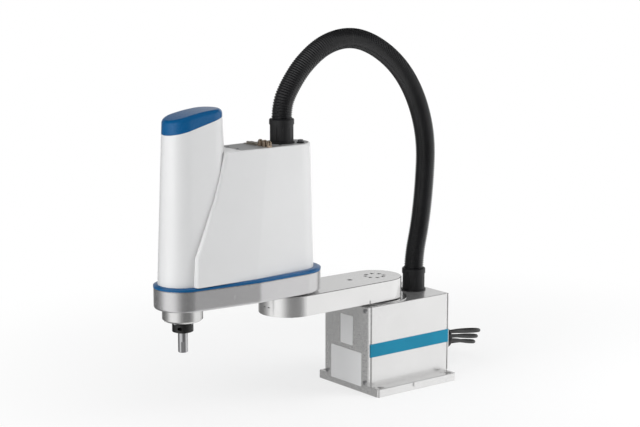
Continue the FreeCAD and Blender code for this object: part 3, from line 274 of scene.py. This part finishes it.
def surface(name, color, rough, metallic=0.0, vary=0.05, grain=700.0, bump=0.15, depth=0.00005,
            stretch=None, coat=0.0, coat_rough=0.05, rough_vary=0.06, edge=0.0004, specular=0.5,
            patch=14.0):
    """A material with slow colour change, fine grain in its roughness and relief, and softened edges."""
    material = bpy.data.materials.new(name)
    material.use_nodes = True
    n = Nodes(material.node_tree)
    out = n.add("ShaderNodeOutputMaterial")
    shader = n.add("ShaderNodeBsdfPrincipled")
    shader.inputs["Metallic"].default_value = metallic
    shader.inputs["Specular IOR Level"].default_value = specular
    if coat:
        shader.inputs["Coat Weight"].default_value = coat
        shader.inputs["Coat Roughness"].default_value = coat_rough
    n.join(shader.outputs["BSDF"], out.inputs["Surface"])
    place = n.add("ShaderNodeTexCoord").outputs["Object"]
    slow = n.noise(place, patch, 2.0)
    fine = n.noise(place, grain, 4.0, stretch)
    dark = [c * (1.0 - vary) for c in color]
    light = [min(1.0, c * (1.0 + vary)) for c in color]
    share = n.span(slow, (NOISE_LOW, 0.0), (NOISE_HIGH, 1.0))
    n.join(n.mix_colors(share, dark, light), shader.inputs["Base Color"])
    roughness = n.span(fine, (NOISE_LOW, rough - rough_vary), (NOISE_HIGH, rough + rough_vary))
    n.join(roughness, shader.inputs["Roughness"])
    relief = n.add("ShaderNodeBump", Strength=bump, Distance=depth)
    n.join(fine, relief.inputs["Height"])
    if edge:
        soft = n.add("ShaderNodeBevel", samples=BEVEL_SAMPLES, Radius=edge)
        n.join(soft.outputs["Normal"], relief.inputs["Normal"])
    n.join(relief.outputs["Normal"], shader.inputs["Normal"])
    return material


def metals():
    """Castings and turned parts; a stretch draws the grain out along the way the tool went."""
    milled = (1.0, 60.0, 60.0)
    turned = (60.0, 60.0, 1.0)
    ground = (1.0, 1.0, 40.0)
    return {
        "cast": surface("cast_silver", (0.87, 0.865, 0.86), rough=0.26, metallic=0.85, vary=0.02,
                        grain=1500.0, bump=0.10, rough_vary=0.05),
        "arm": surface("arm_silver", (0.87, 0.865, 0.86), rough=0.22, metallic=0.9, vary=0.02,
                       grain=120.0, bump=0.08, stretch=milled, rough_vary=0.04),
        "arm_low": surface("arm_cast_silver", (0.64, 0.635, 0.64), rough=0.24, metallic=0.9,
                           vary=0.03, grain=900.0, bump=0.08, rough_vary=0.04, edge=0.004),
        "machined": surface("machined", (0.74, 0.735, 0.73), rough=0.20, metallic=0.95, vary=0.03,
                            grain=120.0, bump=0.10, stretch=turned, rough_vary=0.05),
        "steel": surface("steel", (0.50, 0.50, 0.51), rough=0.26, metallic=1.0, vary=0.05,
                         grain=900.0, bump=0.1, rough_vary=0.08),
        "chrome": surface("shaft_chrome", (0.52, 0.52, 0.53), rough=0.09, metallic=1.0, vary=0.02,
                          grain=200.0, bump=0.05, stretch=ground, rough_vary=0.03),
        "dark": surface("dark_steel", (0.030, 0.030, 0.030), rough=0.32, metallic=0.6, vary=0.1,
                        grain=900.0, bump=0.1, rough_vary=0.08),
        "brass": surface("nickel_brass", (0.42, 0.33, 0.25), rough=0.22, metallic=1.0, vary=0.12,
                         grain=900.0, bump=0.1, rough_vary=0.08, patch=200.0),
        "connector": surface("connector_shell", (0.48, 0.44, 0.38), rough=0.35, metallic=0.9,
                             vary=0.08, grain=900.0, bump=0.1, patch=100.0),
    }


def paints():
    """Coloured bands, trim, mouldings and painted parts."""
    return {
        "teal": surface("teal_band", (0.0, 0.23, 0.38), rough=0.30, vary=0.10, grain=1200.0,
                        bump=0.06, coat=0.1, rough_vary=0.03, specular=0.25),
        "blue": surface("blue_trim", (0.0, 0.085, 0.235), rough=0.28, vary=0.06, grain=1200.0,
                        bump=0.06, coat=0.15, coat_rough=0.12, rough_vary=0.03, specular=0.3),
        "white": surface("white_shell", (0.74, 0.74, 0.74), rough=0.30, vary=0.01, grain=1200.0,
                         bump=0.05, coat=0.5, coat_rough=0.10, rough_vary=0.03, edge=0.0008),
        "plate": surface("grey_plate", (0.36, 0.36, 0.36), rough=0.45, metallic=0.2, vary=0.05,
                         grain=1400.0, bump=0.15),
        "motor": surface("motor_paint", (0.05, 0.05, 0.054), rough=0.45, vary=0.15, grain=1400.0,
                         bump=0.2),
        "label": surface("plain_label", (0.80, 0.80, 0.80), rough=0.42, vary=0.02, grain=1600.0,
                         bump=0.05),
        "mark": surface("engraved_mark", (0.05, 0.05, 0.05), rough=0.6, vary=0.1, grain=1500.0,
                        bump=0.1),
    }


def plastics():
    """Fittings, conduit, cables, the button and the straps."""
    return {
        "black": surface("black_plastic", (0.012, 0.012, 0.013), rough=0.42, vary=0.2, grain=1600.0,
                         bump=0.25, depth=0.0001, rough_vary=0.08),
        "hose": surface("hose_plastic", (0.010, 0.010, 0.011), rough=0.22, vary=0.2, grain=1600.0,
                        bump=0.10, rough_vary=0.05, edge=0.0, specular=0.7),
        "rubber": surface("cable_rubber", (0.014, 0.014, 0.014), rough=0.48, vary=0.2, grain=1600.0,
                          bump=0.2, depth=0.0001, rough_vary=0.08, edge=0.0),
        "button": surface("button_plastic", (0.10, 0.10, 0.105), rough=0.40, vary=0.1, grain=1500.0,
                          bump=0.15),
        "strap": surface("strap", (0.02, 0.02, 0.02), rough=0.55, vary=0.2, grain=1500.0, bump=0.3),
    }


# The material of each CAD node
CAD_FINISH = {
    "cast": ["base_casting", "base_front_cover", "base_rear_panel", "motor_bracket"],
    "arm": ["arm_1_casting"],
    "arm_low": ["arm_2_casting"],
    "machined": ["arm_1_bottom_cover", "quill_flange", "j1_retainer_ring",
                 "bracket_standoffs", "z_motor_pulley", "j4_motor_pulley"],
    "steel": ["base_cover_screws", "arm_1_cover_screws", "arm_1_j1_screws", "arm_1_j2_screws",
              "arm_1_plug_screw", "j1_output_hub", "j2_output_hub", "j1_bearing_outer",
              "j2_bearing_outer", "j1_reducer", "j2_reducer", "top_plate_screws",
              "spline_bearing", "nut_bearing", "ball_screw_nut", "spline_nut"],
    "chrome": ["shaft"],
    "dark": ["stop_collar", "shaft_top_ring"],
    "teal": ["base_side_band_left", "base_side_band_right"],
    "blue": ["arm_2_trim", "housing_cap"],
    "white": ["housing_column", "housing_cover"],
    "plate": ["housing_top_plate"],
    "black": ["base_conduit_fitting", "top_conduit_fitting", "cable_gland",
              "rear_cable_connectors", "brake_button_bezel"],
    "rubber": ["rear_cable_a", "rear_cable_b", "rear_cable_c", "rear_cable_coil_a",
               "rear_cable_coil_b", "rear_cable_coil_c", "z_belt", "j4_belt"],
    "hose": ["umbilical_conduit"],
    "motor": ["j1_motor", "j2_motor", "z_motor", "j4_motor"],
    "brass": ["air_fittings"],
    "connector": ["user_connector"],
    "button": ["brake_button"],
}


def paint(obj, material):
    obj.data.materials.clear()
    obj.data.materials.append(material)


def paint_cad(look):
    for key, names in CAD_FINISH.items():
        for name in names:
            paint(NODES[name], look[key])


# Meshes and pieces

def piece(name, data, body, material):
    """A new object with its finish, fixed to the body unless body is None."""
    obj = bpy.data.objects.new(name, data)
    scene.collection.objects.link(obj)
    paint(obj, material)
    if body:
        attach(obj, body)
    return obj


def mesh_of(name, build):
    bm = bmesh.new()
    build(bm)
    bmesh.ops.recalc_face_normals(bm, faces=bm.faces)
    mesh = bpy.data.meshes.new(name)
    bm.to_mesh(mesh)
    bm.free()
    return mesh


def bridge(bm, rings):
    """Four-sided faces between each ring of vertices and the next."""
    for a, b in zip(rings, rings[1:]):
        for i in range(len(a)):
            j = (i + 1) % len(a)
            bm.faces.new((a[i], a[j], b[j], b[i]))


def close_ends(bm, rings):
    bm.faces.new(rings[-1])
    bm.faces.new(list(reversed(rings[0])))


def rounded_plate(bm, width, height, thick, corner, steps=5, bevel_from=0.7):
    """Thin plate in the XY plane with round corners, its top edge slightly bevelled."""
    outline = []
    for cx, cy, first in ((1, 1, 0), (-1, 1, 90), (-1, -1, 180), (1, -1, 270)):
        for i in range(steps + 1):
            turn = math.radians(first + 90 * i / steps)
            x = cx * (width / 2 - corner) + corner * math.cos(turn)
            y = cy * (height / 2 - corner) + corner * math.sin(turn)
            outline.append((x, y))
    inset = 1.0 - 2 * thick / max(width, height)
    rings = []
    for z, k in ((0.0, 1.0), (thick * bevel_from, 1.0), (thick, inset)):
        rings.append([bm.verts.new((x * k, y * k, z)) for x, y in outline])
    bridge(bm, rings)
    close_ends(bm, rings)


def plate(name, centre, width, height, facing, body, material, slot, thick=0.0003, corner=0.002):
    """A plate on a wall: width runs level, height runs up, facing is the wall's outward normal."""
    mesh = mesh_of(name, lambda bm: rounded_plate(bm, width, height, thick, corner))
    out = Vector(facing).normalized()
    side = Vector((0, 0, 1)).cross(out).normalized()
    turn = Matrix((side, out.cross(side), out)).transposed().to_4x4()
    mesh.transform(Matrix.Translation(Vector(centre)) @ turn)
    return piece(name, mesh, body, material)


def route_curve(name, points, resolution):
    """A curve of one open second-degree NURBS spline with these points as its control points."""
    curve = bpy.data.curves.new(name, "CURVE")
    curve.dimensions = "3D"
    spline = curve.splines.new("NURBS")
    spline.points.add(len(points) - 1)
    for target, point in zip(spline.points, points):
        target.co = (*point, 1.0)
    spline.order_u = 3
    spline.use_endpoint_u = True
    spline.resolution_u = resolution
    return curve


# Conduit

def smooth_line(points):
    """Points along the smooth line that the route's spline makes."""
    curve = route_curve("route", points, LINE_STEPS)
    obj = bpy.data.objects.new("route", curve)
    scene.collection.objects.link(obj)
    bpy.context.view_layer.update()
    depsgraph = bpy.context.evaluated_depsgraph_get()
    mesh = bpy.data.meshes.new_from_object(obj.evaluated_get(depsgraph))
    line = [v.co.copy() for v in mesh.vertices]
    bpy.data.objects.remove(obj)
    bpy.data.curves.remove(curve)
    bpy.data.meshes.remove(mesh)
    return line


def spread(line, step):
    """Points evenly spaced along the line, each with its direction and its distance from the start."""
    lengths = [0.0]
    for a, b in zip(line, line[1:]):
        lengths.append(lengths[-1] + (b - a).length)
    count = int(round(lengths[-1] / step))
    distances = [lengths[-1] * i / count for i in range(count + 1)]
    points = []
    j = 0
    for distance in distances:
        while j < len(line) - 2 and lengths[j + 1] < distance:
            j += 1
        share = (distance - lengths[j]) / max(lengths[j + 1] - lengths[j], SHORTEST_RUN)
        points.append(line[j].lerp(line[j + 1], share))
    stations = []
    for i, distance in enumerate(distances):
        ahead = points[min(i + 1, count)] - points[max(i - 1, 0)]
        stations.append((points[i], ahead.normalized(), distance))
    return stations


def conduit_radius(along):
    """Radius at this distance along the conduit: round crests and grooves of the same width."""
    wave = math.cos(2 * math.pi * ((along / CONDUIT_PITCH) % 1.0))
    rib = math.copysign(abs(wave) ** RIB_ROUNDNESS, wave)
    return CONDUIT_R - CONDUIT_RIB + CONDUIT_RIB * rib


def conduit_half(name, stations, look):
    """Corrugated tube through the stations, fixed to no body."""
    def build(bm):
        side = Vector((0, 1, 0))
        rings = []
        for point, ahead, along in stations:
            r = conduit_radius(along)
            up = ahead.cross(side).normalized()
            ring = []
            for k in range(CONDUIT_SIDES):
                turn = 2 * math.pi * k / CONDUIT_SIDES
                place = point + side * (r * math.cos(turn)) + up * (r * math.sin(turn))
                ring.append(bm.verts.new(place))
            rings.append(ring)
        bridge(bm, rings)
        for face in bm.faces:
            face.smooth = True
    obj = piece(name, mesh_of(name, build), None, look["hose"])
    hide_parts("umbilical_conduit")
    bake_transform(obj)


def conduit(look):
    """Two halves that meet at the top of the arch."""
    stations = spread(smooth_line(CONDUIT), CONDUIT_PITCH / RINGS_PER_RIB)
    apex = max(range(len(stations)), key=lambda i: stations[i][0].z)
    conduit_half("conduit_rear_half", stations[:apex + 1],
                 look)
    conduit_half("conduit_front_half", stations[apex:],
                 look)


# Rear cables

def winding():
    """Each change of the wound cable: first and last angle, change of radius, change of height.

    From beside the coil the cable goes in to the outer turn. Each layer takes two steps, inward and
    outward by turns, and then the cable climbs to the next. After the last layer it goes out beside
    the coil and down to the connector.
    """
    turn_in = CABLE_WIDTH + COIL_GAP
    changes = [(COIL_START, COIL_START + CHANGE_ANGLE, -turn_in, 0.0)]
    for layer in range(COIL_LAYERS):
        first = FIRST_CHANGE + LAYER_ANGLE * layer
        step = CABLE_WIDTH if layer % 2 else -CABLE_WIDTH
        for angle in (first, first + FULL_TURN):
            changes.append((angle, angle + CHANGE_ANGLE, step, 0.0))
        if layer < COIL_LAYERS - 1:
            climb = first + CLIMB_AFTER
            changes.append((climb, climb + CHANGE_ANGLE, 0.0, CABLE_WIDTH))
    top = CABLE_R + (COIL_LAYERS - 1) * CABLE_WIDTH
    changes.append((LEAVES_COIL, LEAVES_COIL + CHANGE_ANGLE, turn_in, 0.0))
    changes.append((*DESCENT, 0.0, CONNECTOR_R - top))
    return changes


def coil_points(cx, cy):
    """Points of the wound length: four layers of about two and a half turns each."""
    changes = winding()
    outward = 1.0 / math.cos(math.radians(TURN_STEP / 2))
    points = []
    count = int((COIL_END - COIL_START) / TURN_STEP)
    for i in range(1, count + 1):
        angle = COIL_START + TURN_STEP * i
        r = BESIDE_COIL
        z = CABLE_R
        for first, last, grow, climb in changes:
            share = min(1.0, max(0.0, (angle - first) / (last - first)))
            smooth = share * share * (3 - 2 * share)
            r += grow * smooth
            z += climb * smooth
        turn = math.radians(angle)
        k = outward if 1 < i < count else 1.0
        points.append((cx + r * k * math.cos(turn), cy + r * k * math.sin(turn), z))
    return points


def rear_cable(index, look):
    letter = "abc"[index]
    cx, cy = COIL_CENTRES[index]
    z = CABLE_Z[index]
    route = [(REAR_X - CABLE_START, GLAND_Y, z), (REAR_X - CABLE_STRAIGHT, GLAND_Y, z)]
    route += CABLE_MIDDLES[index]
    route.append((cx - BESIDE_COIL, cy + BEFORE_COIL, CABLE_R))
    route += coil_points(cx, cy)
    route.append((cx + CONNECTOR_PAST_MIDDLE, cy - BESIDE_COIL, CONNECTOR_R))
    curve = route_curve("cable_" + letter, route, CABLE_STEPS)
    curve.bevel_depth = CABLE_R
    curve.bevel_resolution = CABLE_BEVEL_STEPS
    curve.use_fill_caps = True
    cable = piece("cable_" + letter, curve, "base", look["rubber"])
    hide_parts("rear_cable_" + letter, "rear_cable_coil_" + letter)
    tie = coil_tie("coil_tie_" + letter, cx, cy, look)


def coil_tie(name, cx, cy, look):
    """Flat strap round the whole section of the coil."""
    def build(bm):
        rings = []
        for side, grow in ((-TIE_HALF_WIDTH, 0.0), (-TIE_HALF_WIDTH, TIE_THICK),
                           (TIE_HALF_WIDTH, TIE_THICK), (TIE_HALF_WIDTH, 0.0)):
            ring = []
            for r, z in TIE_SECTION:
                away = Vector((r - TIE_MIDDLE.x, 0, z - TIE_MIDDLE.z)).normalized()
                out = Vector((r, side, z)) + away * grow
                out.z = max(out.z, 0.0)
                ring.append(bm.verts.new(out))
            rings.append(ring)
        rings.append(rings[0])
        bridge(bm, rings)
    mesh = mesh_of(name, build)
    turn = Matrix.Rotation(math.radians(TIE_ANGLE), 4, "Z")
    mesh.transform(Matrix.Translation((cx, cy, 0)) @ turn)
    return piece(name, mesh, "base", look["strap"])


# Plates, marks and screws

def front_plates(look):
    """Two plain plates on the front of the base."""
    for name, ((y, z), (width, height)) in FRONT_PLATES.items():
        plate(name, (FRONT_X, y, z), width, height, (1, 0, 0), "base", look["label"], "grey_plate")


def marks(look):
    """Small dark marks on the first arm: two at joint 2 and one beside joint 1."""
    for number, angle in enumerate(J2_MARK_ANGLES):
        turn = math.radians(angle)
        out = (math.cos(turn), math.sin(turn), 0)
        place = (J2_X + ARM1_END_R * out[0], ARM1_END_R * out[1], J2_MARK_Z)
        plate("j2_mark_%d" % number, place, *J2_MARK_SIZE, out, "arm_1", look["mark"],
              "dark_steel", corner=MARK_CORNER)
    plate("j1_mark", J1_MARK_PLACE, *J1_MARK_SIZE, (0, 1, 0), "arm_1", look["mark"],
          "dark_steel", corner=MARK_CORNER)


def hexagon(turn):
    """How far a hexagon's edge is from its middle in this direction, where its corners are at 1."""
    return math.cos(math.pi / 6) / math.cos((turn % (math.pi / 3)) - math.pi / 6)


def socket_screw(bm, x, y, low, high, r):
    """Round screw head seen from below, with a bevelled rim and a six-sided socket."""
    levels = [(high, 1.0), (low + SCREW_RIM, 1.0), (low, SCREW_FACE), (low, SOCKET_MOUTH),
              (low + SOCKET_DEPTH, SOCKET_FLOOR)]
    rings = []
    for level, k in levels:
        ring = []
        for i in range(SCREW_SIDES):
            turn = 2 * math.pi * i / SCREW_SIDES
            flat = hexagon(turn) if k < SCREW_FACE else 1.0
            reach = r * k * flat
            ring.append(bm.verts.new((x + reach * math.cos(turn), y + reach * math.sin(turn), level)))
        rings.append(ring)
    bridge(bm, rings)
    close_ends(bm, rings)


def quill_screws(look):
    """Six socket screws in the recesses under the nose flange."""
    def build(bm):
        for i in range(QUILL_SCREWS):
            turn = math.radians(QUILL_SCREW_FIRST + FULL_TURN / QUILL_SCREWS * i)
            x = J3_X + QUILL_SCREW_RING * math.cos(turn)
            y = QUILL_SCREW_RING * math.sin(turn)
            socket_screw(bm, x, y, QUILL_LOW - SCREW_BELOW, QUILL_LOW + SCREW_ABOVE, SCREW_R)
    piece("quill_screws", mesh_of("quill_screws", build), "arm_2", look["steel"])


# Stage, lights and camera

def floor_material():
    """White with a faint shadow near the robot and none farther off; shiny things don't see it."""
    material = bpy.data.materials.new("floor_white")
    material.use_nodes = True
    n = Nodes(material.node_tree)
    out = n.add("ShaderNodeOutputMaterial")
    matt = n.add("ShaderNodeBsdfDiffuse", Color=FLOOR_COLOR)
    white = n.add("ShaderNodeEmission", Color=WHITE, Strength=1.0)
    clear = n.add("ShaderNodeBsdfTransparent")
    rays = n.add("ShaderNodeLightPath")
    place = n.add("ShaderNodeTexCoord").outputs["Object"]
    away = n.add("ShaderNodeVectorMath", operation="LENGTH")
    n.join(place, away.inputs[0])
    share = n.span(away.outputs["Value"], FLOOR_NEAR, FLOOR_FAR, smooth=True)
    seen = n.add("ShaderNodeMath", operation="MULTIPLY")
    n.join(share, seen.inputs[0])
    n.join(rays.outputs["Is Camera Ray"], seen.inputs[1])
    shown = n.mix_shaders(seen.outputs["Value"], matt.outputs["BSDF"], white.outputs["Emission"])
    both = n.mix_shaders(rays.outputs["Is Glossy Ray"], shown, clear.outputs["BSDF"])
    n.join(both, out.inputs["Surface"])
    return material


def stage():
    def build(bm):
        bmesh.ops.create_grid(bm, x_segments=8, y_segments=8, size=FLOOR_HALF)
    floor = bpy.data.objects.new("floor", mesh_of("floor", build))
    floor.location = (0.0, 0.0, -FLOOR_DROP)
    scene.collection.objects.link(floor)
    paint(floor, floor_material())


def world():
    """White to the camera, soft panels with dark gaps between them to shiny things, plain to the rest."""
    scene.world = bpy.data.worlds.new("studio")
    scene.world.use_nodes = True
    n = Nodes(scene.world.node_tree)
    out = n.add("ShaderNodeOutputWorld")
    seen = n.add("ShaderNodeBackground", Color=WHITE, Strength=1.0)
    room = n.add("ShaderNodeBackground", Color=ROOM_COLOR, Strength=ROOM_LEVEL)
    panels = n.add("ShaderNodeBackground", Strength=1.0)
    rays = n.add("ShaderNodeLightPath")
    way = n.add("ShaderNodeTexCoord").outputs["Generated"]
    parts = n.add("ShaderNodeSeparateXYZ")
    n.join(way, parts.inputs[0])
    turn = n.add("ShaderNodeMath", operation="ARCTAN2")
    n.join(parts.outputs["X"], turn.inputs[0])
    n.join(parts.outputs["Y"], turn.inputs[1])
    share = n.span(turn.outputs["Value"], (-math.pi, 0.0), (math.pi, 1.0))
    ramp = n.add("ShaderNodeValToRGB")
    stops = ramp.color_ramp.elements
    while len(stops) < len(ROOM):
        stops.new(0.5)
    for stop, (angle, level) in zip(stops, ROOM):
        stop.position = (angle + FULL_TURN / 2) / FULL_TURN
        stop.color = (level, level, level, 1)
    n.join(share, ramp.inputs["Fac"])
    high = n.span(parts.outputs["Z"], ROOM_LOW, ROOM_HIGH, smooth=True)
    level = n.add("ShaderNodeVectorMath", operation="SCALE")
    n.join(ramp.outputs["Color"], level.inputs[0])
    n.join(high, level.inputs["Scale"])
    n.join(level.outputs["Vector"], panels.inputs["Color"])
    shiny = n.mix_shaders(rays.outputs["Is Glossy Ray"], room.outputs["Background"],
                          panels.outputs["Background"])
    pick = n.mix_shaders(rays.outputs["Is Camera Ray"], shiny, seen.outputs["Background"])
    n.join(pick, out.inputs["Surface"])


def area_light(name, place, target, size, power):
    """Soft white light that shiny things don't see."""
    data = bpy.data.lights.new(name, "AREA")
    data.shape = "RECTANGLE"
    data.size, data.size_y = size
    data.energy = power
    obj = bpy.data.objects.new(name, data)
    obj.location = place
    aim = Vector(target) - Vector(place)
    obj.rotation_euler = aim.to_track_quat("-Z", "Y").to_euler()
    obj.visible_glossy = False
    scene.collection.objects.link(obj)


def lights():
    area_light("right_light", place=(-0.75, 0.75, 0.7), target=(0.15, 0, 0.25), size=(0.7, 1.2),
               power=11.0)
    area_light("left_light", place=(1.7, 0.15, 0.8), target=(0.3, 0, 0.3), size=(0.9, 1.4),
               power=14.0)
    area_light("top_light", place=(0.2, 0.4, 2.6), target=(0.1, 0, 0), size=(2.4, 2.4),
               power=11.0)


def camera():
    data = bpy.data.cameras.new("camera")
    data.sensor_fit = "HORIZONTAL"
    data.sensor_width = SENSOR_WIDTH
    data.lens = CAMERA_LENS
    data.clip_start = 0.05
    data.clip_end = 50.0
    obj = bpy.data.objects.new("camera", data)
    obj.location = CAMERA_PLACE
    obj.rotation_euler = [math.radians(angle) for angle in CAMERA_TURN]
    scene.collection.objects.link(obj)
    scene.camera = obj


def main():
    look = {**metals(), **paints(), **plastics()}
    camera()
    for index in range(len(COIL_CENTRES)):
        rear_cable(index, look)
    conduit(look)
    paint_cad(look)
    front_plates(look)
    marks(look)
    quill_screws(look)
    stage()
    world()
    lights()
    scene.view_settings.view_transform = "Standard"


main()
